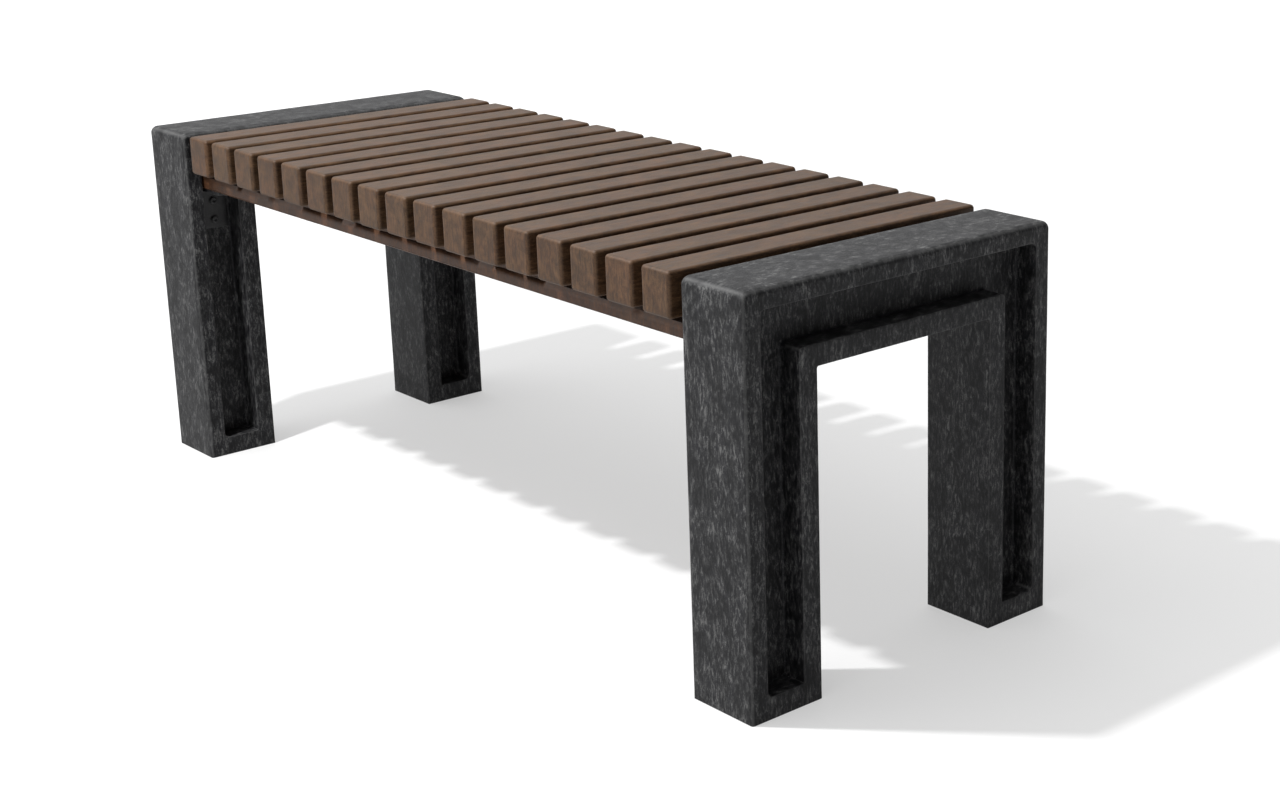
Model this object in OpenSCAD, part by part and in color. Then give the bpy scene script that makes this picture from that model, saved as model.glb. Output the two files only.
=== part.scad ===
// Backless bench of moulded recycled plastic.
// Two inverted-U end frames carry a seat board on steel angle brackets. The slats lie across the board,
// level with the tops of the end frames, and are screwed on from below.
// Frame: +X runs along the bench, +Y to its rear, +Z up; the origin is on the ground, at the centre.

/* [Overall] */
// Length of the bench over both end frames
bench_l = 1238; // [1030:2:1490]
// Width of the bench, front to rear
bench_w = 435; // [360:1:520]
// Height of the seat above the ground
bench_h = 450; // [375:1:540]

/* [End frames] */
// Thickness of an end frame along the bench
frame_t = 96; // [80:1:115]
// Width of a leg, front to rear
leg_w = 94; // [78:1:113]
// Depth of the head that joins the two legs
head_h = 93; // [77:1:112]
// Rim between the outer edge and the channel
rim_out = 22; // [18:0.5:26]
// Rim between the channel and the inner edge
rim_in = 24; // [20:0.5:29]
// Solid foot below the channel
foot_h = 25; // [20:0.5:40]
// Depth of the channel in each face
channel_d = 30; // [20:0.5:36]
// Radius in the channel's corners
channel_r = 6; // [2:0.5:10]
// Radius of the two upper corners, seen from the end
corner_r = 9; // [5:0.5:15]
// Radius along the head's upper edges
head_edge_r = 7; // [3:0.5:12]
// Radius along the legs' upright edges
leg_edge_r = 5; // [2:0.5:10]

/* [Slats] */
// Number of slats
slat_count = 17; // [12:1:17]
// Width of a slat along the bench
slat_w = 46; // [38:0.5:55]
// Height of a slat
slat_h = 50; // [40:0.5:60]
// Radius of a slat's edges
slat_r = 4.5; // [2:0.5:8]
// Gap between an end frame and the slat next to it
end_gap = 17; // [10:0.5:22]

/* [Seat board] */
// Thickness of the seat board
board_h = 27; // [22:0.5:33]
// Clearance between the board and an end frame's inner face
board_end_gap = 2; // [1:0.5:5]
// Clearance between a tongue and each side of the channel it runs into
tongue_side_gap = 3; // [1:0.5:5]
// Clearance between a tongue's end and the channel's floor
tongue_end_gap = 2; // [1:0.5:5]
// Radius of the board's edges
board_r = 3; // [1:0.5:5]

/* [Angle brackets] */
// Thickness of the steel
bracket_t = 5; // [3:0.5:6]
// Length of the leg that lies against the end frame
bracket_drop = 60; // [48:1:75]
// Distance from a tongue's side to the bracket's side
bracket_inset = 3; // [2:0.5:5]
// Distance from a bracket's corner to its nearer screw
bracket_hole_near = 22; // [20:0.5:26]
// Distance from a bracket's free end to its farther screw
bracket_hole_end = 12; // [9:0.5:14]
// Space between a bracket's end and the head of the first slat screw
bracket_slat_gap = 4; // [2:0.5:6]

/* [Screws] */
// Shank of a slat screw
slat_screw_d = 6; // [5:0.5:7]
// Head of a slat screw
slat_head_d = 12; // [10:0.5:13]
// Plastic left above the tip of a slat screw
slat_cover = 17; // [10:0.5:22]
// Shank of a bracket screw
bracket_screw_d = 5; // [4:0.5:6]
// Head of a bracket screw
bracket_head_d = 10; // [8:0.5:12]
// Plastic left past the tip of a bracket screw
bracket_cover = 7; // [4:0.5:10]
// Height of every screw head
head_t = 3.5; // [2.5:0.5:4.5]
// Radial clearance of a shank in the piece it clamps
shank_gap = 0.25; // [0.1:0.05:0.5]
// Length of a screw's point
point_l = 6; // [4:0.5:7]

/* [Hidden] */
$fn = 48;
SIDES = [-1, 1];
CHARCOAL = [0.21, 0.21, 0.22];
BROWN = [0.43, 0.35, 0.29];
BLACK = [0.14, 0.14, 0.14];
STEEL = [0.68, 0.69, 0.71];
SOCKET_AF = 4;                                     // across the flats of a screw's hexagon socket
SOCKET_D = SOCKET_AF / cos(30);                    // across its corners
SOCKET_T = 2.2;                                    // its depth
OVERCUT = 1;                                       // how far a cut runs past the face it opens

web_t = frame_t - 2 * channel_d;                   // plastic between the two channels of a frame
frame_x = (bench_l - frame_t) / 2;                 // middle of an end frame
inner_x = frame_x - frame_t / 2;                   // its inner face
web_x = inner_x + channel_d;                       // floor of its inner channel
gap_w = bench_w - 2 * leg_w;                       // opening between the legs
gap_h = bench_h - head_h;
channel_w = leg_w - rim_out - rim_in;

slat_gap = (2 * (inner_x - end_gap) - slat_count * slat_w) / (slat_count - 1);
slat_pitch = slat_w + slat_gap;
slat_z = bench_h - slat_h;                         // underside of the slats

tongue_w = channel_w - 2 * tongue_side_gap;
tongue_y = bench_w / 2 - rim_out - channel_w / 2;  // middle of the front and the rear channel
tongue_x = web_x - tongue_end_gap;                 // end of a tongue
board_w = 2 * tongue_y + tongue_w;
board_x = inner_x - board_end_gap;                 // end of the board between its tongues
board_z = slat_z - board_h;                        // underside of the board

slat_end_x = slat_x(slat_count);                   // middle of the last slat
bracket_w = tongue_w - 2 * bracket_inset;
bracket_reach = web_x - slat_end_x - slat_head_d / 2 - bracket_slat_gap;
slat_screw_l = board_h + slat_h - slat_cover;
board_screw_l = bracket_t + board_h - bracket_cover;
frame_screw_l = bracket_t + web_t - bracket_cover;

slat_names = [for (i = [1:slat_count]) str("slat_", i < 10 ? "0" : "", i)];
bracket_names = ["left_front_bracket", "left_rear_bracket", "right_front_bracket", "right_rear_bracket"];

function slat_x(i) = (i - (slat_count + 1) / 2) * slat_pitch;

// Distances of a bracket's two screws from its corner, along a leg of the given length
function bracket_holes(leg_l) = [bracket_hole_near, leg_l - bracket_hole_end];

// Children drawn at the +X end appear at the end that side names
module at_end(side) {
    if (side > 0) children();
    else mirror([1, 0, 0]) children();
}

// Children drawn on the +Y side appear on the side that side names
module at_side(side) {
    if (side > 0) children();
    else mirror([0, 1, 0]) children();
}

// Rectangle about the origin with round corners
module round_rect(w, h, r) {
    square([w - 2 * r, h], center = true);
    square([w, h - 2 * r], center = true);
    for (x = SIDES, y = SIDES) translate([x * (w / 2 - r), y * (h / 2 - r)]) circle(r);
}

// Extrudes a Y-Z outline along X, from x = 0
module along_x(length) rotate([90, 0, 90]) linear_extrude(length) children();

// Bar about the origin in X and Y, standing on z = 0, with every edge rounded
module round_bar(w, l, h, r) {
    translate([0, 0, h / 2]) intersection() {
        translate([0, l / 2, 0]) rotate([90, 0, 0]) linear_extrude(l) round_rect(w, h, r);
        translate([-w / 2, 0, 0]) along_x(w) round_rect(l, h, r);
        translate([0, 0, -h / 2]) linear_extrude(h) round_rect(w, l, r);
    }
}

// Rectangle standing on z = foot, up to z = top, whose upper corners are round
module arch(w, foot, top, r) {
    translate([-w / 2, foot]) square([w, top - foot - r]);
    translate([r - w / 2, foot]) square([w - 2 * r, top - foot]);
    for (y = SIDES) translate([y * (w / 2 - r), top - r]) circle(r);
}

// Outline of an end frame, seen from the end of the bench
module frame_outline() {
    difference() {
        arch(bench_w, 0, bench_h, corner_r);
        translate([-gap_w / 2, -OVERCUT]) square([gap_w, gap_h + OVERCUT]);
    }
}

// Outline of the channel that follows both legs and the head
module channel_outline() {
    difference() {
        translate([0, (foot_h + bench_h - rim_out) / 2])
            round_rect(bench_w - 2 * rim_out, bench_h - rim_out - foot_h, channel_r);
        arch(gap_w + 2 * rim_in, 0, gap_h + rim_in, channel_r);
    }
}

// Screw with its head's seat on z = 0 and its shank along +Z
module screw(shank_d, shank_l, head_d) {
    cylinder(d = shank_d, h = shank_l - point_l);
    translate([0, 0, shank_l - point_l]) cylinder(d1 = shank_d, d2 = 1, h = point_l);
    difference() {
        translate([0, 0, -head_t]) cylinder(d = head_d, h = head_t);
        translate([0, 0, -head_t - OVERCUT]) cylinder(d = SOCKET_D, h = SOCKET_T + OVERCUT, $fn = 6);
    }
}

// Hole with its mouth on z = 0, along +Z
module hole(d, depth) translate([0, 0, -OVERCUT]) cylinder(d = d, h = depth + OVERCUT);

// Puts its children on each screw of one bracket's upper leg, pointing up into the board
module at_board_screws() {
    for (reach = bracket_holes(bracket_reach))
        translate([web_x - reach, tongue_y, board_z - bracket_t]) children();
}

// Puts its children on each screw of one bracket's hanging leg, pointing out into the frame's web
module at_frame_screws() {
    for (drop = bracket_holes(bracket_drop))
        translate([web_x - bracket_t, tongue_y, board_z - drop]) rotate([0, 90, 0]) children();
}

module end_frame(side) {
    color(CHARCOAL) at_end(side) difference() {
        intersection() {
            translate([inner_x, 0, 0]) along_x(frame_t) frame_outline();
            translate([frame_x, bench_w / 2, bench_h / 2]) rotate([90, 0, 0]) linear_extrude(bench_w) {
                round_rect(frame_t, bench_h, head_edge_r);
                translate([-frame_t / 2, -bench_h / 2]) square([frame_t, bench_h / 2]);
            }
            translate([frame_x, 0, 0]) linear_extrude(bench_h) round_rect(frame_t, bench_w, leg_edge_r);
        }
        translate([inner_x - OVERCUT, 0, 0]) along_x(channel_d + OVERCUT) channel_outline();
        translate([inner_x + frame_t - channel_d, 0, 0]) along_x(channel_d + OVERCUT) channel_outline();
        for (y = SIDES) at_side(y) at_frame_screws() hole(bracket_screw_d, frame_screw_l);
    }
}

// The board between the end frames, with a tongue at each corner that runs into a leg's channel
module seat_board() {
    color(BROWN) difference() {
        translate([0, 0, board_z]) round_bar(2 * tongue_x, board_w, board_h, board_r);
        for (x = SIDES) at_end(x) translate([board_x, tongue_w / 2 - tongue_y, board_z - OVERCUT])
            cube([tongue_x - board_x + OVERCUT, 2 * tongue_y - tongue_w, board_h + 2 * OVERCUT]);
        for (i = [1:slat_count], y = SIDES) translate([slat_x(i), y * tongue_y, board_z])
            hole(slat_screw_d + 2 * shank_gap, board_h + OVERCUT);
        for (x = SIDES, y = SIDES) at_end(x) at_side(y)
            at_board_screws() hole(bracket_screw_d, board_screw_l);
    }
}

module slat(i) {
    color(BROWN) difference() {
        translate([slat_x(i), 0, slat_z]) round_bar(slat_w, bench_w, slat_h, slat_r);
        for (y = SIDES) translate([slat_x(i), y * tongue_y, slat_z]) hole(slat_screw_d, slat_h - slat_cover);
    }
}

module bracket(x_side, y_side) {
    color(BLACK) at_end(x_side) at_side(y_side) difference() {
        translate([web_x, tongue_y - bracket_w / 2, board_z]) {
            translate([-bracket_reach, 0, -bracket_t]) cube([bracket_reach, bracket_w, bracket_t]);
            translate([-bracket_t, 0, -bracket_drop]) cube([bracket_t, bracket_w, bracket_drop]);
        }
        at_board_screws() hole(bracket_screw_d + 2 * shank_gap, bracket_t + OVERCUT);
        at_frame_screws() hole(bracket_screw_d + 2 * shank_gap, bracket_t + OVERCUT);
    }
}

module slat_screws(side) {
    color(STEEL) for (i = [1:slat_count])
        translate([slat_x(i), side * tongue_y, board_z]) screw(slat_screw_d, slat_screw_l, slat_head_d);
}

module board_bracket_screws() {
    color(BLACK) for (x = SIDES, y = SIDES) at_end(x) at_side(y)
        at_board_screws() screw(bracket_screw_d, board_screw_l, bracket_head_d);
}

module frame_bracket_screws() {
    color(BLACK) for (x = SIDES, y = SIDES) at_end(x) at_side(y)
        at_frame_screws() screw(bracket_screw_d, frame_screw_l, bracket_head_d);
}

end_frame(-1);  // left_end_frame
end_frame(1);  // right_end_frame
seat_board();
for (i = [1:slat_count]) slat(i);
bracket(-1, -1);  // left_front_bracket
bracket(-1, 1);  // left_rear_bracket
bracket(1, -1);  // right_front_bracket
bracket(1, 1);  // right_rear_bracket
slat_screws(-1);  // front_slat_screws
slat_screws(1);  // rear_slat_screws
board_bracket_screws();
frame_bracket_screws();
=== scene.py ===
import math

import bmesh
import bpy
from mathutils import Matrix, Vector, noise


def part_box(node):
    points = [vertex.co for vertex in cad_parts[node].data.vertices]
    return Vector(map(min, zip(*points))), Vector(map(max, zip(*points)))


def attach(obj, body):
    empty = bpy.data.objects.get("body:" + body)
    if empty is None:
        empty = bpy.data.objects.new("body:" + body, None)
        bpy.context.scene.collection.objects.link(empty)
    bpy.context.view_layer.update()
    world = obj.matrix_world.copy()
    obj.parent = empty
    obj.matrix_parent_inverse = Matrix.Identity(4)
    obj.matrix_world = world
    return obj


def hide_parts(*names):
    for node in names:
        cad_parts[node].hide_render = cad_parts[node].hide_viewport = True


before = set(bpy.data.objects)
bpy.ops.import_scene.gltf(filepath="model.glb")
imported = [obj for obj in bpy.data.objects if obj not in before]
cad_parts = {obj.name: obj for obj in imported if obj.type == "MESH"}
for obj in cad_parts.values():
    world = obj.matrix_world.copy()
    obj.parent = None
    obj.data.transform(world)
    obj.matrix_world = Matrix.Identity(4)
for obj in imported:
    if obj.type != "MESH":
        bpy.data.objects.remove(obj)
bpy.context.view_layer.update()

# Backless bench of moulded recycled plastic: two channelled end frames, a seat board with slats on it,
# angle brackets and screws. Metres throughout: +X along the bench, +Y to its rear, +Z up, the ground at
# z = 0.

BODY = "root"
MM = 0.001

# ---------------------------------------------------------------- the bench's sizes

FRAME_LO, FRAME_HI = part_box("right_end_frame")
HALF_W = FRAME_HI.y                  # half the bench's width
HEIGHT = FRAME_HI.z                  # height of the seat
FRAME_MID = (FRAME_LO.x + FRAME_HI.x) / 2
HALF_T = (FRAME_HI.x - FRAME_LO.x) / 2
LEG_W = 94 * MM                      # width of a leg, front to rear
HEAD_H = 93 * MM                     # depth of the head that joins the legs
HALF_GAP = HALF_W - LEG_W            # half the opening between the legs
GAP_H = HEIGHT - HEAD_H              # height of that opening
CHANNEL_D = 30 * MM                  # depth of the channel in each face
BOARD_LO, BOARD_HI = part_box("seat_board")
BRACKET_LO, BRACKET_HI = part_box("right_rear_bracket")
TONGUE_Y = (BRACKET_LO.y + BRACKET_HI.y) / 2
TONGUE_HALF_W = BOARD_HI.y - TONGUE_Y
SLAT_NAMES = sorted(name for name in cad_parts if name.startswith("slat_"))

# An inset is four distances from the end frame's outline: from the legs' outer sides, from the
# head's top, from the feet and from the opening. Corner radii are: feet outside, head's corners,
# opening's corners, feet inside.
EDGE_R = (5 * MM, 7 * MM, 1.2 * MM, 1.8 * MM)
EDGE_CORNERS = (1.2 * MM, 9 * MM, 2 * MM, 1.2 * MM)
FACE_CORNERS = (1.2 * MM, 3 * MM, 3.8 * MM, 1.2 * MM)
RIM = (22 * MM, 22 * MM, 25 * MM, 24 * MM)
MOUTH_R = 1.6 * MM                   # radius along a channel's outer edges
MOUTH_CORNERS = (7.6 * MM, 7.6 * MM, 4.4 * MM, 2.6 * MM)
WALL_CORNERS = (6 * MM, 6 * MM, 6 * MM, 1 * MM)
FILLET_R = 2.5 * MM                  # radius along the edges of a channel's floor
FLOOR_CORNERS = (3.5 * MM, 3.5 * MM, 8.5 * MM, 0.5 * MM)

SLAT_R = 4.5 * MM
BOARD_R = 3 * MM
BOARD_GAP = 2 * MM                   # between the seat board and an end frame's inner face
PLATE_T = 5 * MM                     # thickness of a bracket
PLATE_EDGE = 0.5 * MM                # radius along a bracket's edges
PLATE_TIP_R = 0.9 * MM               # radius of a bracket's end, seen from the side
BEND_R = 3 * MM                      # radius inside a bracket's bend
HOLE_NEAR = 22 * MM                  # from a bracket's corner to its nearer screw
HOLE_END = 12 * MM                   # from a bracket's end to its farther screw
HEAD_T = 3.5 * MM                    # height of every screw head
SLAT_SCREW = (6 * MM, 60 * MM, 12 * MM)      # shank diameter, shank length, head diameter
BOARD_SCREW = (5 * MM, 25 * MM, 10 * MM)
FRAME_SCREW = (5 * MM, 32 * MM, 10 * MM)
SOCKET_FLATS = 4 * MM                # width of a screw's socket across its flats
SOCKET_D = 2.2 * MM                  # depth of that socket
SOCKET_EDGE = 0.3 * MM               # bevel round its mouth
DOME_R = 1.6 * MM                    # rounding of a screw's head
HEAD_EDGE = 0.3 * MM                 # bevel under a screw's head
POINT_L = 6 * MM                     # length of a screw's point
POINT_R = 0.5 * MM                   # radius that the point narrows to
SPIN_SIZE = 7 * MM                   # screws farther apart than this are turned unalike
SPIN_SEED = 5

# How deep the moulded surfaces dip. The dips have two sizes, each with its share of the depth.
FRAME_UNEVEN = 0.35 * MM
SLAT_UNEVEN = 0.3 * MM
BOARD_UNEVEN = 0.25 * MM
BROAD_DIP = 45 * MM
BROAD_SHARE = 0.6
SMALL_DIP = 14 * MM
SMALL_SHARE = 0.4
FLAT_FOOT_H = 6 * MM                 # below this height the dips fade out towards the ground
FULL_TILT = 0.29                     # how far a normal leans from its nearest axis where the edge and hollow mark is full
NOISE_SHIFT = Vector((17.3, -9.1, 4.7))      # what each seed moves the noise by

# ---------------------------------------------------------------- how fine the meshes are

LEG_POINTS = 44                      # points along a leg's side, besides the corners
HEAD_POINTS = 42
FOOT_POINTS = 10
FOOT_ARC = 4                         # steps round a corner at a foot
HEAD_ARC = 6                         # steps round a corner of the head or the opening
SMALL_TURN = 3                       # steps round a channel's edges and a bracket's
EDGE_TURN = 5                        # steps round an end frame's outer edges and a screw's head
TIP_ARC = 2                          # steps round a corner at a bracket's end
BEND_ARC = 8                         # steps round a bracket's bend
PLATE_POINTS = 10                    # points along each of a bracket's plates
TIP_POINTS = 2                       # points across a plate's end
WALL_ROWS = 4                        # rows up a channel's wall
FACE_SHARES = (0.12, 0.4, 0.7, 0.9)  # where the rows of a rim are, from the channel outwards
SIDE_ROWS = 9                        # rows across an end frame's sides
PLATE_ROWS = 6                       # rows across a bracket's width
SHANK_ROWS = 4                       # rows along a screw's shank
SCREW_SIDES = 36
SLAT_STEPS = (9 * MM, 12 * MM, 9 * MM)       # size of a slat's cells along X, Y and Z
BOARD_STEPS = (14 * MM, 12 * MM, 9 * MM)     # the same for the board's middle
TONGUE_STEPS = (8 * MM, 10 * MM)             # along X at the tongues, along Y beside the notch
ROUND_ANGLES = (45, 30, 15, 0)       # degrees from a slat's face at which its edge has points
SUPPORT_IN = 1.2 * MM                # from a slat's rounded edge in to the next row
BEVEL_STEPS = 4                      # steps round the seat board's edges
SHARP_ANGLE = math.radians(40)       # edges that turn by more than this are sharp

# ---------------------------------------------------------------- meshes


class Skin:
    """Vertices and faces of one piece as it is made. cavity marks the vertices of inner corners."""

    def __init__(self):
        self.verts = []
        self.faces = []
        self.cavity = set()

    def add(self, points, cavity=False):
        """Adds vertices and returns their numbers."""
        first = len(self.verts)
        self.verts.extend(Vector(p) for p in points)
        ring = list(range(first, len(self.verts)))
        if cavity:
            self.cavity.update(ring)
        return ring

    def join(self, a, b):
        """A closed band of quads between two rings of equal length."""
        count = len(a)
        for i in range(count):
            j = (i + 1) % count
            self.faces.append((a[i], a[j], b[j], b[i]))

    def band(self, rings):
        """A band over several rings, one after another."""
        for a, b in zip(rings, rings[1:]):
            self.join(a, b)

    def fan(self, ring, centre):
        """Closes a ring with triangles that meet at centre."""
        tip = self.add([centre])[0]
        count = len(ring)
        for i in range(count):
            self.faces.append((ring[i], ring[(i + 1) % count], tip))

    def round_edges(self, radius):
        """Rounds every sharp edge. A known fault: the faces don't all turn the same way yet, so the
        seat board comes out with some faces turned in and a few corners standing out of its box.
        recalc_face_normals in place of normal_update mends that."""
        shape = bmesh.new()
        corners = [shape.verts.new(p) for p in self.verts]
        for face in self.faces:
            shape.faces.new([corners[i] for i in face])
        shape.normal_update()
        sharp = [e for e in shape.edges if e.calc_face_angle() > SHARP_ANGLE]
        bmesh.ops.bevel(shape, geom=sharp, offset=radius, segments=BEVEL_STEPS, profile=0.5, affect="EDGES")
        shape.verts.index_update()
        self.verts = [v.co.copy() for v in shape.verts]
        self.faces = [tuple(v.index for v in face.verts) for face in shape.faces]
        shape.free()

    def close_strip(self, ring, marks):
        """Fills a ring that goes out along one side and back along the other with a grid.
        marks are the ring's places at the four corners of the grid."""
        start, end, back, home = marks
        count = len(ring)
        length = end - start
        width = back - end
        rows = []
        for a in range(length + 1):
            near = ring[start + a]
            far = ring[home - a]
            if a == 0:
                row = [ring[(start - b) % count] for b in range(width + 1)]
            elif a == length:
                row = [ring[end + b] for b in range(width + 1)]
            else:
                p, q = self.verts[near], self.verts[far]
                shares = [(1 - math.cos(math.pi * b / width)) / 2 for b in range(1, width)]
                row = [near] + self.add([p.lerp(q, s) for s in shares]) + [far]
            rows.append(row)
        for row, after in zip(rows, rows[1:]):
            for b in range(width):
                self.faces.append((row[b], row[b + 1], after[b + 1], after[b]))


def soft_noise(point, size, seed):
    """Smooth noise from -1 to 1 that changes over about size metres."""
    return noise.noise(point / size + NOISE_SHIFT * seed)


def quarter_turn(steps):
    """The angles of a quarter turn in even steps, from 0 to a right angle."""
    return [math.pi / 2 * k / steps for k in range(steps + 1)]


def make_piece(skin, name, slot_name, node, uneven=0, seed=0):
    """Turns a skin into the piece that replaces node. Its surface dips by up to uneven, and its
    vertices are marked: above 0 at outer edges, which the materials lighten for wear and painted
    highlight, below 0 in inner corners, which the charcoal plastic darkens as painted shade."""
    mesh = bpy.data.meshes.new(name)
    mesh.from_pydata(skin.verts, [], skin.faces)
    shape = bmesh.new()
    shape.from_mesh(mesh)
    bmesh.ops.recalc_face_normals(shape, faces=shape.faces)
    shape.to_mesh(mesh)
    shape.free()
    mesh.polygons.foreach_set("use_smooth", [True] * len(mesh.polygons))
    normals = [v.normal.copy() for v in mesh.vertices]
    edge_and_hollow_mark = []
    for v, n in zip(mesh.vertices, normals):
        tilt = min(1.0, (1 - max(abs(n.x), abs(n.y), abs(n.z))) / FULL_TILT)
        edge_and_hollow_mark.append(-tilt if v.index in skin.cavity else tilt)
        if uneven:
            broad = BROAD_SHARE * soft_noise(v.co, BROAD_DIP, seed)
            small = SMALL_SHARE * soft_noise(v.co, SMALL_DIP, seed + 1)
            ground = min(1.0, v.co.z / FLAT_FOOT_H)
            v.co -= n * uneven * (0.5 + 0.5 * (broad + small)) * ground
    mesh.attributes.new("edge_and_hollow_mark", "FLOAT", "POINT").data.foreach_set("value", edge_and_hollow_mark)
    mesh.materials.append(MATERIALS[slot_name])
    piece = bpy.data.objects.new(name, mesh)
    bpy.context.scene.collection.objects.link(piece)
    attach(piece, BODY)
    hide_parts(node)


def arc(corner, radius, before, after, steps):
    """Points round a square corner that is entered along before and left along after."""
    centre = corner - before * radius + after * radius
    return [centre + radius * (before * math.sin(a) - after * math.cos(a)) for a in quarter_turn(steps)]


def round_loop(corners, radii, arc_steps, edge_counts, dense_edges):
    """A closed outline with round corners: its 2-D points, the edge that each point is on, and the
    place of each corner's middle in the list. Edge i follows corner i, and a point on a corner is
    between two edges. The points of a dense edge crowd towards its ends."""
    corners = [Vector(c) for c in corners]
    count = len(corners)
    ways = [(corners[(i + 1) % count] - corners[i]).normalized() for i in range(count)]
    arcs = [arc(corners[i], radii[i], ways[i - 1], ways[i], arc_steps[i]) for i in range(count)]
    points = []
    edges = []
    marks = []
    for i in range(count):
        marks.append(len(points) + arc_steps[i] // 2)
        points += arcs[i]
        edges += [i - 1 + k / arc_steps[i] for k in range(arc_steps[i] + 1)]
        a, b = arcs[i][-1], arcs[(i + 1) % count][0]
        for k in range(1, edge_counts[i] + 1):
            share = k / (edge_counts[i] + 1)
            if i in dense_edges:
                share = (1 - math.cos(math.pi * share)) / 2
            points.append(a.lerp(b, share))
            edges.append(i)
    return points, edges, marks


# ---------------------------------------------------------------- end frames


def frame_loop(inset, corner_r):
    """The end frame's outline in Y and Z, moved into the plastic by inset."""
    side, top, foot, gap = inset
    y_out = HALF_W - side
    y_in = HALF_GAP + gap
    z_top = HEIGHT - top
    z_in = GAP_H + gap
    corners = [(-y_out, foot), (-y_out, z_top), (y_out, z_top), (y_out, foot),
               (y_in, foot), (y_in, z_in), (-y_in, z_in), (-y_in, foot)]
    foot_out, head, opening, foot_in = corner_r
    radii = [foot_out, head, head, foot_out, foot_in, opening, opening, foot_in]
    arc_steps = [FOOT_ARC, HEAD_ARC, HEAD_ARC, FOOT_ARC] * 2
    edge_counts = [LEG_POINTS, HEAD_POINTS, LEG_POINTS, FOOT_POINTS] * 2
    return round_loop(corners, radii, arc_steps, edge_counts, (3, 7))


def blend4(a, b, share):
    """Four values between those of a and b."""
    return tuple(p + (q - p) * share for p, q in zip(a, b))


def round_drop(radius, inset):
    """How far a rounded edge has fallen behind the face, inset from the side."""
    if inset >= radius:
        return 0.0
    return radius - math.sqrt(radius * radius - (radius - inset) ** 2)


def outline_drop(point, edge, turn):
    """How far an outer edge's rounding has fallen behind the face at one point of its ring. Under a
    foot it follows the rounding of the leg's sides too. Elsewhere it changes smoothly from edge to
    edge round each corner."""
    side, top, foot, gap = EDGE_R
    fall = 1 - math.cos(turn)
    around = [side, top, side, foot, gap, gap, gap, foot]
    if edge <= 0 or 2 < edge < 4 or edge > 6:
        y = abs(point.x)
        return max(round_drop(side, HALF_W - y), round_drop(gap, y - HALF_GAP), foot * fall)
    low = int(math.floor(edge))
    share = edge - low
    share = share * share * (3 - 2 * share)
    return fall * (around[low] + (around[(low + 1) % 8] - around[low]) * share)


def frame_rings():
    """The rings of one face from the channel's floor out to the side, as (points, falls, cavity),
    and the places of their corners. A fall is how far a point is behind the face."""
    stages = []
    for k, turn in enumerate(quarter_turn(SMALL_TURN)):
        inset = tuple(r + FILLET_R * (1 - math.sin(turn)) for r in RIM)
        corners = blend4(FLOOR_CORNERS, WALL_CORNERS, k / SMALL_TURN)
        stages.append((inset, corners, CHANNEL_D - FILLET_R * (1 - math.cos(turn)), True))
    for k in range(1, WALL_ROWS):
        depth = CHANNEL_D - FILLET_R + (MOUTH_R - CHANNEL_D + FILLET_R) * k / WALL_ROWS
        stages.append((RIM, WALL_CORNERS, depth, False))
    for k, turn in enumerate(quarter_turn(SMALL_TURN)):
        inset = tuple(r - MOUTH_R * (1 - math.cos(turn)) for r in RIM)
        corners = blend4(WALL_CORNERS, MOUTH_CORNERS, k / SMALL_TURN)
        stages.append((inset, corners, MOUTH_R * (1 - math.sin(turn)), False))
    mouth = tuple(r - MOUTH_R for r in RIM)
    for share in FACE_SHARES:
        stages.append((blend4(mouth, EDGE_R, share), blend4(MOUTH_CORNERS, FACE_CORNERS, share), 0.0, False))
    rings = []
    for inset, corners, depth, cavity in stages:
        points, _, marks = frame_loop(inset, corners)
        rings.append((points, [depth] * len(points), cavity))
    for turn in quarter_turn(EDGE_TURN):
        inset = tuple(r * (1 - math.sin(turn)) for r in EDGE_R)
        corners = blend4(FACE_CORNERS, EDGE_CORNERS, math.sin(turn))
        points, edges, _ = frame_loop(inset, corners)
        falls = [outline_drop(p, e, turn) for p, e in zip(points, edges)]
        rings.append((points, falls, False))
    return rings, marks


def end_frame(side, name, node, seed):
    """One end frame: its two channelled faces, and the sides that join them."""
    skin = Skin()
    rings, marks = frame_rings()
    centre = side * FRAME_MID
    grid_marks = (marks[0], marks[3], marks[4], marks[7])
    borders = []
    for face in (1, -1):
        made = []
        for points, falls, cavity in rings:
            made.append(skin.add(
                [(centre + face * (HALF_T - f), p.x, p.y) for p, f in zip(points, falls)], cavity))
        skin.band(made)
        skin.close_strip(made[0], grid_marks)
        borders.append(made[-1])
    front = [skin.verts[i] for i in borders[0]]
    back = [skin.verts[i] for i in borders[1]]
    across = [borders[0]]
    for k in range(1, SIDE_ROWS):
        across.append(skin.add([p.lerp(q, k / SIDE_ROWS) for p, q in zip(front, back)]))
    across.append(borders[1])
    skin.band(across)
    make_piece(skin, name, "frame_plastic", node, FRAME_UNEVEN, seed)


# ---------------------------------------------------------------- slats and seat board


def block_stops(half, radius, step):
    """Places along one axis of a rounded block, crowded where its edges are round."""
    core = half - radius
    turned = [core + radius * math.tan(math.radians(a)) for a in ROUND_ANGLES]
    support = core - SUPPORT_IN
    count = max(2, round(2 * support / step))
    middle = [-support + 2 * support * i / count for i in range(count + 1)]
    return [-t for t in turned] + middle + turned[::-1]


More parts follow.
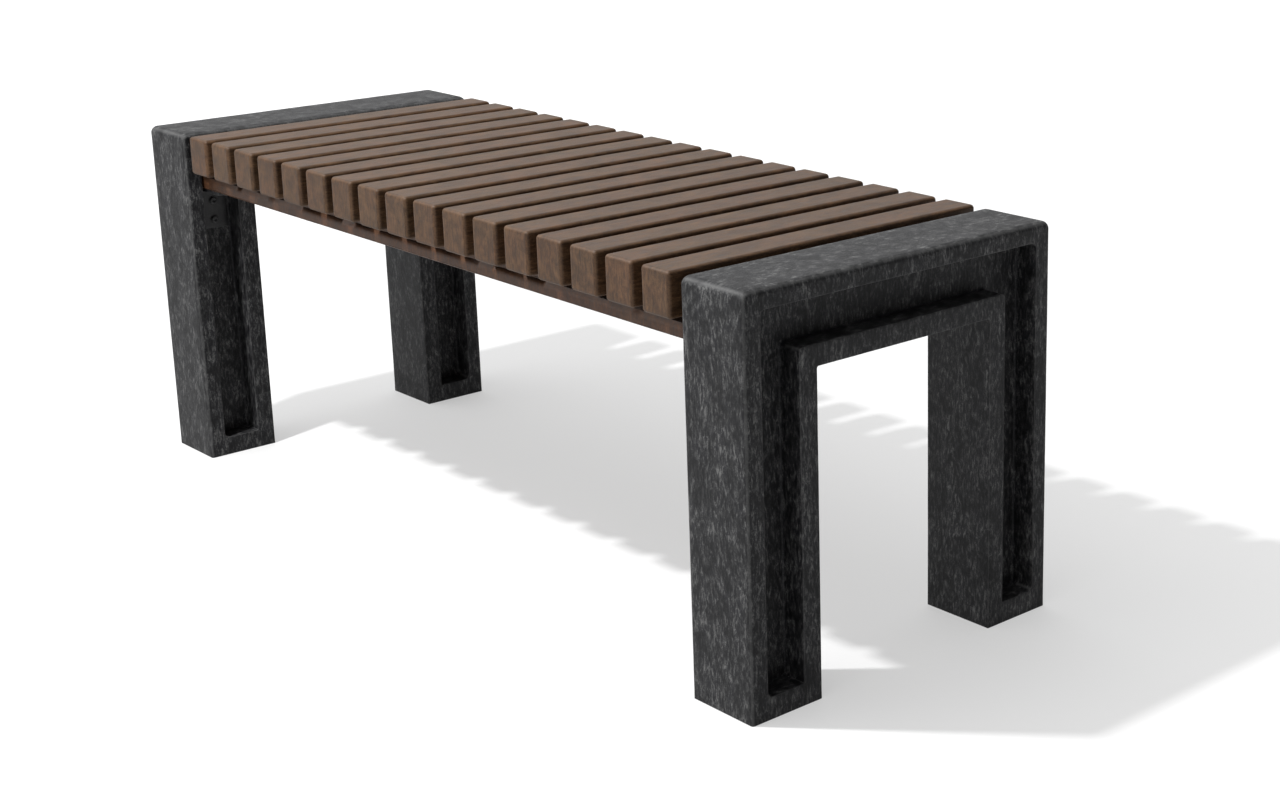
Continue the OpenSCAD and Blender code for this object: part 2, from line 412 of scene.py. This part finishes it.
def round_block(lo, hi, radius, steps):
    """A bar with every edge rounded, as one closed grid."""
    skin = Skin()
    centre = (lo + hi) / 2
    half = (hi - lo) / 2
    stops = [block_stops(half[i], radius, steps[i]) for i in range(3)]
    sizes = [len(s) for s in stops]
    found = {}

    def vertex(i, j, k):
        if (i, j, k) not in found:
            p = Vector((stops[0][i], stops[1][j], stops[2][k]))
            q = Vector([max(radius - half[a], min(half[a] - radius, p[a])) for a in range(3)])
            found[i, j, k] = skin.add([centre + q + (p - q).normalized() * radius])[0]
        return found[i, j, k]

    for axis in range(3):
        u, v = [a for a in range(3) if a != axis]
        for end in (0, sizes[axis] - 1):
            for a in range(sizes[u] - 1):
                for b in range(sizes[v] - 1):
                    place = [0, 0, 0]
                    place[axis] = end
                    face = []
                    for da, db in ((0, 0), (1, 0), (1, 1), (0, 1)):
                        place[u] = a + da
                        place[v] = b + db
                        face.append(vertex(*place))
                    skin.faces.append(tuple(face))
    return skin


def slat(number, node):
    """One slat, which fills its box."""
    lo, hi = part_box(node)
    skin = round_block(lo, hi, SLAT_R, SLAT_STEPS)
    make_piece(skin, f"board_{number:02d}", "slat_plastic", node, SLAT_UNEVEN, number * 3)


def even_stops(start, end, step):
    """Places from start to end, both included, about step apart."""
    count = max(1, round((end - start) / step))
    return [start + (end - start) * i / count for i in range(count + 1)]


def seat_board(seed):
    """The board under the slats: a lattice of cells without the notch between the tongues at each
    end, whose sharp edges are then rounded."""
    notch_x = FRAME_LO.x - BOARD_GAP
    notch_y = TONGUE_Y - TONGUE_HALF_W
    half_x = even_stops(0, notch_x, BOARD_STEPS[0]) + even_stops(notch_x, BOARD_HI.x, TONGUE_STEPS[0])[1:]
    half_y = even_stops(0, notch_y, BOARD_STEPS[1]) + even_stops(notch_y, BOARD_HI.y, TONGUE_STEPS[1])[1:]
    stops = [[-x for x in half_x[:0:-1]] + half_x, [-y for y in half_y[:0:-1]] + half_y,
             even_stops(BOARD_LO.z, BOARD_HI.z, BOARD_STEPS[2])]
    cells = set()
    for i in range(len(stops[0]) - 1):
        for j in range(len(stops[1]) - 1):
            x = abs(stops[0][i] + stops[0][i + 1]) / 2
            y = abs(stops[1][j] + stops[1][j + 1]) / 2
            if x < notch_x or y > notch_y:
                cells.update((i, j, k) for k in range(len(stops[2]) - 1))
    skin = Skin()
    found = {}
    for cell in sorted(cells):
        for axis in range(3):
            for way in (0, 1):
                beside = list(cell)
                beside[axis] += 2 * way - 1
                if tuple(beside) in cells:
                    continue
                u, v = (axis + 1) % 3, (axis + 2) % 3
                face = []
                for du, dv in ((0, 0), (1, 0), (1, 1), (0, 1)):
                    place = list(cell)
                    place[axis] += way
                    place[u] += du
                    place[v] += dv
                    place = tuple(place)
                    if place not in found:
                        found[place] = skin.add([[stops[a][place[a]] for a in range(3)]])[0]
                    face.append(found[place])
                skin.faces.append(tuple(face))
    skin.round_edges(BOARD_R)
    make_piece(skin, "seat_board_panel", "board_plastic", "seat_board", BOARD_UNEVEN, seed)


# ---------------------------------------------------------------- brackets and screws


def bracket_loop(length, drop, inset):
    """A bracket's bent profile, with x towards the end frame and z up, its corner at the origin."""
    corners = [(-length + inset, -inset), (-inset, -inset), (-inset, -drop + inset),
               (-PLATE_T + inset, -drop + inset), (-PLATE_T + inset, -PLATE_T + inset),
               (-length + inset, -PLATE_T + inset)]
    tip = PLATE_TIP_R
    radii = [tip, BEND_R + PLATE_T - inset, tip, tip, BEND_R + inset, tip]
    arc_steps = [TIP_ARC, BEND_ARC, TIP_ARC] * 2
    edge_counts = [PLATE_POINTS, PLATE_POINTS, TIP_POINTS] * 2
    return round_loop(corners, radii, arc_steps, edge_counts, ())


def bracket(node, name):
    """One angle bracket: a bent plate that fills its box."""
    lo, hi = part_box(node)
    end = 1 if hi.x > 0 else -1
    corner = Vector((hi.x if end > 0 else lo.x, 0, hi.z))
    length = hi.x - lo.x
    drop = hi.z - lo.z
    skin = Skin()
    rings = []
    edge = [(PLATE_EDGE * (1 - math.sin(turn)), PLATE_EDGE * (1 - math.cos(turn)))
            for turn in quarter_turn(SMALL_TURN)]
    rows = [(inset, lo.y + fall) for inset, fall in edge]
    rows += [(0.0, lo.y + (hi.y - lo.y) * k / PLATE_ROWS) for k in range(1, PLATE_ROWS)]
    rows += [(inset, hi.y - fall) for inset, fall in edge[::-1]]
    for inset, y in rows:
        points, _, marks = bracket_loop(length, drop, inset)
        rings.append(skin.add([(corner.x + end * p.x, y, corner.z + p.y) for p in points]))
    skin.band(rings)
    grid_marks = (marks[0], marks[2], marks[3], marks[5])
    skin.close_strip(rings[0], grid_marks)
    skin.close_strip(rings[-1], grid_marks)
    make_piece(skin, name, "black_steel", node)


def screw_rings(shank_d, shank_l, head_d):
    """A socket screw as (radius, height, six-sided) rings, from the socket's floor to the tip."""
    flats = SOCKET_FLATS / 2
    head_r = head_d / 2
    floor = SOCKET_D - HEAD_T
    rings = [(0.5 * flats, floor, True), (flats, floor, True), (flats, SOCKET_EDGE - HEAD_T, True),
             (1.3 * flats, -HEAD_T, False), (head_r - 1.25 * DOME_R, -HEAD_T, False)]
    for turn in quarter_turn(EDGE_TURN)[1:]:
        radius = head_r - DOME_R * (1 - math.sin(turn))
        rings.append((radius, -HEAD_T + DOME_R * (1 - math.cos(turn)), False))
    rings += [(head_r, -HEAD_EDGE, False), (head_r - HEAD_EDGE, 0.0, False), (shank_d / 2, 0.0, False)]
    rings += [(shank_d / 2, (shank_l - POINT_L) * k / SHANK_ROWS, False) for k in range(1, SHANK_ROWS + 1)]
    rings.append((POINT_R, shank_l, False))
    return rings


def add_screw(skin, seat, turn, size):
    """One screw with its head's seat at seat; turn takes +Z to the way its shank points. Each screw's
    socket stands at its own angle, spin."""
    made = []
    spin = soft_noise(seat, SPIN_SIZE, SPIN_SEED) * math.pi
    for radius, height, six_sided in screw_rings(*size):
        points = []
        for i in range(SCREW_SIDES):
            angle = math.tau * i / SCREW_SIDES
            near = (angle + math.pi / 6) % (math.pi / 3) - math.pi / 6
            reach = radius / math.cos(near) if six_sided else radius
            local = Vector((reach * math.cos(angle + spin), reach * math.sin(angle + spin), height))
            points.append(seat + turn @ local)
        made.append(skin.add(points))
    skin.band(made)
    skin.fan(made[0], seat + turn @ Vector((0, 0, SOCKET_D - HEAD_T)))
    skin.fan(made[-1], seat + turn @ Vector((0, 0, size[1])))


def slat_screws(side, node, name):
    """The row of screws that holds the slats at the board's front or rear."""
    skin = Skin()
    for slat_name in SLAT_NAMES:
        lo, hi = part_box(slat_name)
        seat = Vector(((lo.x + hi.x) / 2, side * TONGUE_Y, BOARD_LO.z))
        add_screw(skin, seat, Matrix.Identity(3), SLAT_SCREW)
    make_piece(skin, name, "screw_steel", node)


def bracket_screws(node, name, hanging):
    """The screws of all four brackets' hanging legs, or of all four upper legs."""
    skin = Skin()
    lo, hi = BRACKET_LO, BRACKET_HI
    reach = hi.z - lo.z if hanging else hi.x - lo.x
    for x_side in (-1, 1):
        for y_side in (-1, 1):
            for far in (HOLE_NEAR, reach - HOLE_END):
                if hanging:
                    seat = Vector((x_side * (hi.x - PLATE_T), y_side * TONGUE_Y, hi.z - far))
                    turn = Matrix.Rotation(x_side * math.pi / 2, 3, "Y")
                else:
                    seat = Vector((x_side * (hi.x - far), y_side * TONGUE_Y, hi.z - PLATE_T))
                    turn = Matrix.Identity(3)
                add_screw(skin, seat, turn, FRAME_SCREW if hanging else BOARD_SCREW)
    make_piece(skin, name, "black_steel", node)


# ---------------------------------------------------------------- materials


class Shader:
    """One node material. Inputs given as sockets are linked; other values are set."""

    def __init__(self, name):
        self.material = bpy.data.materials.new(name)
        self.material.use_nodes = True
        self.tree = self.material.node_tree
        self.surface = self.tree.nodes["Principled BSDF"]
        self.coords = self.add("ShaderNodeTexCoord")

    def add(self, kind, inputs=(), **settings):
        """A node of this kind, with its inputs and its own settings."""
        made = self.tree.nodes.new(kind)
        for key, value in settings.items():
            setattr(made, key, value)
        for key, value in dict(inputs).items():
            if isinstance(value, bpy.types.NodeSocket):
                self.tree.links.new(value, made.inputs[key])
            else:
                made.inputs[key].default_value = value
        return made

    def stretched(self, scale):
        """The object's own coordinates, multiplied by scale along each axis."""
        return self.add("ShaderNodeMapping", {"Vector": self.coords.outputs["Object"], "Scale": scale},
                        vector_type="POINT").outputs["Vector"]

    def noise(self, vector, detail, roughness, distortion=0.0):
        made = self.add("ShaderNodeTexNoise", {"Vector": vector, "Scale": 1.0, "Detail": detail,
                                               "Roughness": roughness, "Distortion": distortion})
        return made.outputs["Fac"]

    def ramp(self, value, *stops):
        """Maps a value to a colour; each stop is (place, colour)."""
        made = self.add("ShaderNodeValToRGB", {"Fac": value})
        items = made.color_ramp.elements
        while len(items) < len(stops):
            items.new(0.5)
        for item, (place, colour) in zip(items, stops):
            item.position = place
            item.color = (*colour, 1.0)
        return made.outputs["Color"]

    def limits(self, value, low, high, to_low=0.0, to_high=1.0, smooth=False):
        """Maps a value from low and high to to_low and to_high, and stops it there."""
        kind = "SMOOTHSTEP" if smooth else "LINEAR"
        made = self.add("ShaderNodeMapRange", {"Value": value, "From Min": low, "From Max": high,
                                               "To Min": to_low, "To Max": to_high}, interpolation_type=kind)
        return made.outputs["Result"]

    def math(self, operation, a, b=0.0):
        """One operation on a value, or on two."""
        return self.add("ShaderNodeMath", {0: a, 1: b}, operation=operation).outputs["Value"]

    def mix(self, share, a, b, blend="MIX"):
        """Mixes two colours."""
        made = self.add("ShaderNodeMix", {"Factor": share}, data_type="RGBA", blend_type=blend)
        for key, value in (("A_Color", a), ("B_Color", b)):
            socket = next(s for s in made.inputs if s.identifier == key)
            if isinstance(value, bpy.types.NodeSocket):
                self.tree.links.new(value, socket)
            else:
                socket.default_value = (*value, 1.0)
        return next(s for s in made.outputs if s.identifier == "Result_Color")

    def blend(self, share, a, b):
        """Mixes two numbers."""
        made = self.add("ShaderNodeMix", {0: share}, data_type="FLOAT")
        self.tree.links.new(a, made.inputs["A"])
        self.tree.links.new(b, made.inputs["B"])
        return made.outputs["Result"]

    def facing(self, axis):
        """1 where the surface faces along the axis, 0 where it doesn't."""
        parts = self.add("ShaderNodeSeparateXYZ", {"Vector": self.coords.outputs["Normal"]})
        return self.limits(self.math("ABSOLUTE", parts.outputs[axis]), 0.6, 0.8, smooth=True)

    def edge_and_hollow_mark(self, low, high):
        """The edge and hollow mark that the mesh carries, between these two values: above 0 at outer edges,
        below 0 in inner corners.
        """
        found = self.add("ShaderNodeAttribute", attribute_name="edge_and_hollow_mark", attribute_type="GEOMETRY")
        return self.limits(found.outputs["Fac"], low, high)

    def bump(self, height, strength, distance, below=None):
        """A normal from a height, on top of the bump below it."""
        inputs = {"Height": height, "Strength": strength, "Distance": distance}
        if below is not None:
            inputs["Normal"] = below
        return self.add("ShaderNodeBump", inputs).outputs["Normal"]

    def finish(self, colour, roughness, normal, **fixed):
        """Links the surface, sets its other inputs and returns the material."""
        self.tree.links.new(colour, self.surface.inputs["Base Color"])
        self.tree.links.new(roughness, self.surface.inputs["Roughness"])
        self.tree.links.new(normal, self.surface.inputs["Normal"])
        for key, value in fixed.items():
            self.surface.inputs[key.replace("_", " ")].default_value = value
        return self.material


def frame_plastic():
    """Charcoal recycled plastic: short light and dark flecks drawn out along the piece, over clouds, with
    outer edges lightened (partly wear, partly painted highlight) and painted shade in inner corners.
    """
    s = Shader("charcoal_recycled_plastic")
    top = s.facing("Z")
    upright = s.noise(s.stretched((330, 330, 105)), 4.0, 0.68, 0.6)
    level = s.noise(s.stretched((330, 105, 330)), 4.0, 0.68, 0.6)
    streaks = s.blend(top, upright, level)
    fine = s.noise(s.stretched((1100, 1100, 700)), 2.0, 0.5)
    flecks = s.math("ADD", streaks, s.math("MULTIPLY", s.math("SUBTRACT", fine, 0.5), 0.35))
    colour = s.ramp(flecks, (0.36, (0.0022, 0.0022, 0.0032)), (0.46, (0.0080, 0.0080, 0.0092)),
                    (0.54, (0.0215, 0.0215, 0.0222)), (0.65, (0.060, 0.060, 0.060)))
    clouds = s.noise(s.stretched((52, 52, 36)), 4.0, 0.66, 0.8)
    tone = s.ramp(clouds, (0.39, (0.42, 0.42, 0.44)), (0.61, (1.62, 1.62, 1.60)))
    colour = s.mix(1.0, colour, tone, "MULTIPLY")
    # Outer edges lightened towards grey, patchily: partly edge wear, partly a painted highlight where the
    # rounded edges catch the lamp.
    lighter_edges = s.math("MULTIPLY", s.edge_and_hollow_mark(0.15, 0.9), s.limits(clouds, 0.3, 0.7, 0.35, 1.0))
    colour = s.mix(lighter_edges, colour, (0.070, 0.070, 0.070))
    # Painted shade: inner corners at the edges of the channels' floors are darkened towards a bluish
    # near-black.
    darkening = s.math("MULTIPLY", s.edge_and_hollow_mark(-0.1, -0.9), 0.6)
    colour = s.mix(darkening, colour, (0.007, 0.0075, 0.0105))
    roughness = s.limits(flecks, 0.3, 0.7, 0.5, 0.72)
    normal = s.bump(flecks, 0.6, 0.5 * MM)
    normal = s.bump(clouds, 0.35, 0.9 * MM, normal)
    return s.finish(colour, roughness, normal, Specular_IOR_Level=0.2)


def brown_plastic(name, dark, mid, light):
    """Brown recycled plastic: lengthwise grain on the sides, upright grain on the ends, tinted clouds, and
    lighter outer edges, partly wear, partly painted highlight.
    """
    s = Shader(name)
    end = s.facing("Y")
    along = s.noise(s.stretched((420, 62, 420)), 5.0, 0.68, 0.35)
    upright = s.noise(s.stretched((420, 420, 90)), 5.0, 0.68, 0.35)
    grain = s.blend(end, along, upright)
    fine = s.noise(s.stretched((1000, 520, 800)), 2.0, 0.5)
    grain = s.math("ADD", grain, s.math("MULTIPLY", s.math("SUBTRACT", fine, 0.5), 0.4))
    colour = s.ramp(grain, (0.38, dark), (0.50, mid), (0.62, light))
    warmth = s.noise(s.stretched((22, 9, 22)), 3.0, 0.55, 0.6)
    tint = s.ramp(warmth, (0.3, (1.05, 0.97, 0.95)), (0.5, (1.0, 1.0, 1.0)), (0.7, (0.97, 1.01, 0.98)))
    colour = s.mix(1.0, colour, tint, "MULTIPLY")
    patches = s.noise(s.stretched((60, 24, 60)), 5.0, 0.7, 0.5)
    tone = s.ramp(patches, (0.38, (0.74, 0.74, 0.74)), (0.62, (1.26, 1.26, 1.26)))
    colour = s.mix(1.0, colour, tone, "MULTIPLY")
    # Outer edges lightened patchily: partly edge wear, partly a painted highlight along the rounded edges.
    lighter_edges = s.math("MULTIPLY", s.edge_and_hollow_mark(0.2, 1.0), s.limits(patches, 0.35, 0.7, 0.15, 0.6))
    wear_and_highlight_colour = tuple(c * 1.3 for c in light)
    colour = s.mix(lighter_edges, colour, wear_and_highlight_colour)
    roughness = s.limits(grain, 0.3, 0.75, 0.46, 0.66)
    normal = s.bump(grain, 0.45, 0.3 * MM)
    normal = s.bump(patches, 0.3, 0.7 * MM, normal)
    return s.finish(colour, roughness, normal, Specular_IOR_Level=0.24)


def black_steel():
    """Black powder-coated steel: fine orange peel, a little dust, and rubbed edges."""
    s = Shader("black_coated_steel")
    peel = s.noise(s.stretched((900, 900, 900)), 2.0, 0.5)
    dust = s.noise(s.stretched((55, 55, 55)), 4.0, 0.65, 0.3)
    colour = s.ramp(dust, (0.3, (0.008, 0.008, 0.009)), (0.55, (0.014, 0.014, 0.015)),
                    (0.8, (0.034, 0.034, 0.033)))
    lighter_edges = s.math("MULTIPLY", s.edge_and_hollow_mark(0.3, 1.0), s.limits(dust, 0.35, 0.7, 0.2, 0.8))
    colour = s.mix(lighter_edges, colour, (0.030, 0.030, 0.030))
    roughness = s.limits(dust, 0.3, 0.75, 0.42, 0.64)
    normal = s.bump(peel, 0.3, 0.1 * MM)
    return s.finish(colour, roughness, normal, Specular_IOR_Level=0.4)


def screw_steel():
    """Stainless steel with a fine turned finish and a little grime."""
    s = Shader("stainless_steel")
    darkening = s.noise(s.stretched((420, 420, 420)), 4.0, 0.65)
    scratch = s.noise(s.stretched((2400, 500, 2400)), 2.0, 0.5)
    colour = s.ramp(darkening, (0.3, (0.36, 0.35, 0.34)), (0.55, (0.58, 0.58, 0.58)), (0.75, (0.70, 0.70, 0.70)))
    roughness = s.limits(scratch, 0.3, 0.7, 0.22, 0.42)
    normal = s.bump(scratch, 0.3, 0.06 * MM)
    return s.finish(colour, roughness, normal, Metallic=1.0)


def floor_paint():
    """Pale studio floor that glows evenly a little, with the faintest unevenness, and with painted light:
    its colour grows lighter away from the bench.
    """
    s = Shader("pale_floor")
    cloud = s.noise(s.stretched((1.5, 1.5, 1.5)), 2.0, 0.5)
    # Painted light: the floor's colour is darker near the bench and lighter farther off, making up for the
    # lamp's light falling off with distance.
    nearness = s.add("ShaderNodeTexGradient", {"Vector": s.stretched((0.3, 0.3, 0.3))},
                     gradient_type="SPHERICAL").outputs["Fac"]
    base = s.ramp(nearness, (0.0, (0.62, 0.62, 0.62)), (0.65, (0.35, 0.35, 0.35)))
    tone = s.ramp(cloud, (0.3, (0.985, 0.985, 0.985)), (0.7, (1.015, 1.015, 1.015)))
    colour = s.mix(1.0, base, tone, "MULTIPLY")
    roughness = s.limits(cloud, 0.3, 0.7, 0.88, 0.92)
    normal = s.bump(cloud, 0.02, 0.1 * MM)
    return s.finish(colour, roughness, normal, Specular_IOR_Level=0.1, Emission_Strength=0.45,
                    Emission_Color=(1.0, 1.0, 1.0, 1.0))


# ---------------------------------------------------------------- floor, light and camera


FLOOR_HALF = 30.0                    # half the floor's size
LAMP_AT = (-0.290, -1.014, 2.002)
LAMP_RADIUS = 0.045                  # how soft the shadows' edges are
LAMP_STRENGTH = 113.0
SKY_BASE = 0.05                      # brightness of the dome where no glow reaches
# Each glow has a direction, how narrow it is, and how bright: overhead, behind and in front.
SKY_GLOWS = (((-0.36, -0.30, 0.88), 3.0, 2.0), ((-0.7, 0.7, 0.1), 2.0, 1.1), ((-0.1, -1.0, 0.15), 2.0, 0.8))
CAMERA_AT = (2.101, -1.4459, 0.9596)
CAMERA_AZIMUTH = math.radians(45.10)
CAMERA_ELEVATION = math.radians(15.19)
CAMERA_LENS = 59.11                  # in mm, for a sensor 36 mm wide
CAMERA_SHIFT = (-0.2257, -0.0750)


def floor():
    """The ground that the bench stands on."""
    half = FLOOR_HALF
    corners = [(-half, -half, 0), (half, -half, 0), (half, half, 0), (-half, half, 0)]
    mesh = bpy.data.meshes.new("floor")
    mesh.from_pydata(corners, [], [(0, 1, 2, 3)])
    mesh.materials.append(floor_paint())
    piece = bpy.data.objects.new("floor", mesh)
    bpy.context.scene.collection.objects.link(piece)


def key_light():
    """The lamp that casts the bench's shadow. Its light falls off as one over the distance."""
    lamp = bpy.data.lights.new("key", "POINT")
    lamp.energy = 1.0
    lamp.shadow_soft_size = LAMP_RADIUS
    lamp.use_nodes = True
    tree = lamp.node_tree
    falloff = tree.nodes.new("ShaderNodeLightFalloff")
    falloff.inputs["Strength"].default_value = LAMP_STRENGTH
    tree.links.new(falloff.outputs["Linear"], tree.nodes["Emission"].inputs["Strength"])
    holder = bpy.data.objects.new("key", lamp)
    holder.location = LAMP_AT
    bpy.context.scene.collection.objects.link(holder)


def sky():
    """A soft white dome, brightest overhead, with a pale backdrop low behind the bench and another in
    front of it."""
    world = bpy.data.worlds.new("dome")
    world.use_nodes = True
    tree = world.node_tree
    coords = tree.nodes.new("ShaderNodeTexCoord")

    def math_node(operation, a, b, c=0.0):
        made = tree.nodes.new("ShaderNodeMath")
        made.operation = operation
        for socket, value in zip(made.inputs, (a, b, c)):
            if isinstance(value, bpy.types.NodeSocket):
                tree.links.new(value, socket)
            else:
                socket.default_value = value
        return made.outputs["Value"]

    def glow(way, narrowness):
        """From 1 straight towards way down to 0 at right angles to it."""
        facing = tree.nodes.new("ShaderNodeVectorMath")
        facing.operation = "DOT_PRODUCT"
        facing.inputs[1].default_value = Vector(way).normalized()
        tree.links.new(coords.outputs["Generated"], facing.inputs[0])
        return math_node("POWER", math_node("MAXIMUM", facing.outputs["Value"], 0.0), narrowness)

    level = SKY_BASE
    for way, narrowness, brightness in SKY_GLOWS:
        level = math_node("MULTIPLY_ADD", glow(way, narrowness), brightness, level)
    background = tree.nodes["Background"]
    background.inputs["Color"].default_value = (1.0, 1.0, 1.0, 1.0)
    tree.links.new(level, background.inputs["Strength"])
    bpy.context.scene.world = world


def camera():
    """The photograph's viewpoint."""
    data = bpy.data.cameras.new("camera")
    data.sensor_width = 36.0
    data.lens = CAMERA_LENS
    data.shift_x, data.shift_y = CAMERA_SHIFT
    holder = bpy.data.objects.new("camera", data)
    holder.location = CAMERA_AT
    level = math.cos(CAMERA_ELEVATION)
    back = Vector((math.sin(CAMERA_AZIMUTH) * level, -math.cos(CAMERA_AZIMUTH) * level,
                   math.sin(CAMERA_ELEVATION)))
    holder.rotation_euler = back.to_track_quat("Z", "Y").to_euler()
    bpy.context.scene.collection.objects.link(holder)
    bpy.context.scene.camera = holder


# ---------------------------------------------------------------- the scene

# Each brown is dark, middle and light, as the grain shows it.
SLAT_BROWNS = ((0.031, 0.0148, 0.0064), (0.049, 0.0245, 0.0110), (0.071, 0.0375, 0.0178))
BOARD_BROWNS = ((0.028, 0.0108, 0.0044), (0.045, 0.0185, 0.0078), (0.067, 0.0295, 0.0132))

MATERIALS = {
    "frame_plastic": frame_plastic(),
    "slat_plastic": brown_plastic("brown_slat_plastic", *SLAT_BROWNS),
    "board_plastic": brown_plastic("brown_board_plastic", *BOARD_BROWNS),
    "black_steel": black_steel(),
    "screw_steel": screw_steel(),
}

end_frame(-1, "left_end_moulding", "left_end_frame", seed=11)
end_frame(1, "right_end_moulding", "right_end_frame", seed=23)
for position, slat_name in enumerate(SLAT_NAMES, 1):
    slat(position, slat_name)
seat_board(seed=71)
for bracket_node in sorted(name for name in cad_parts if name.endswith("_bracket")):
    bracket(bracket_node, bracket_node.replace("bracket", "angle"))
slat_screws(-1, "front_slat_screws", "front_board_screws")
slat_screws(1, "rear_slat_screws", "rear_board_screws")
bracket_screws("board_bracket_screws", "board_angle_screws", hanging=False)
bracket_screws("frame_bracket_screws", "moulding_angle_screws", hanging=True)

floor()
key_light()
sky()
camera()
bpy.context.scene.view_settings.view_transform = "Standard"
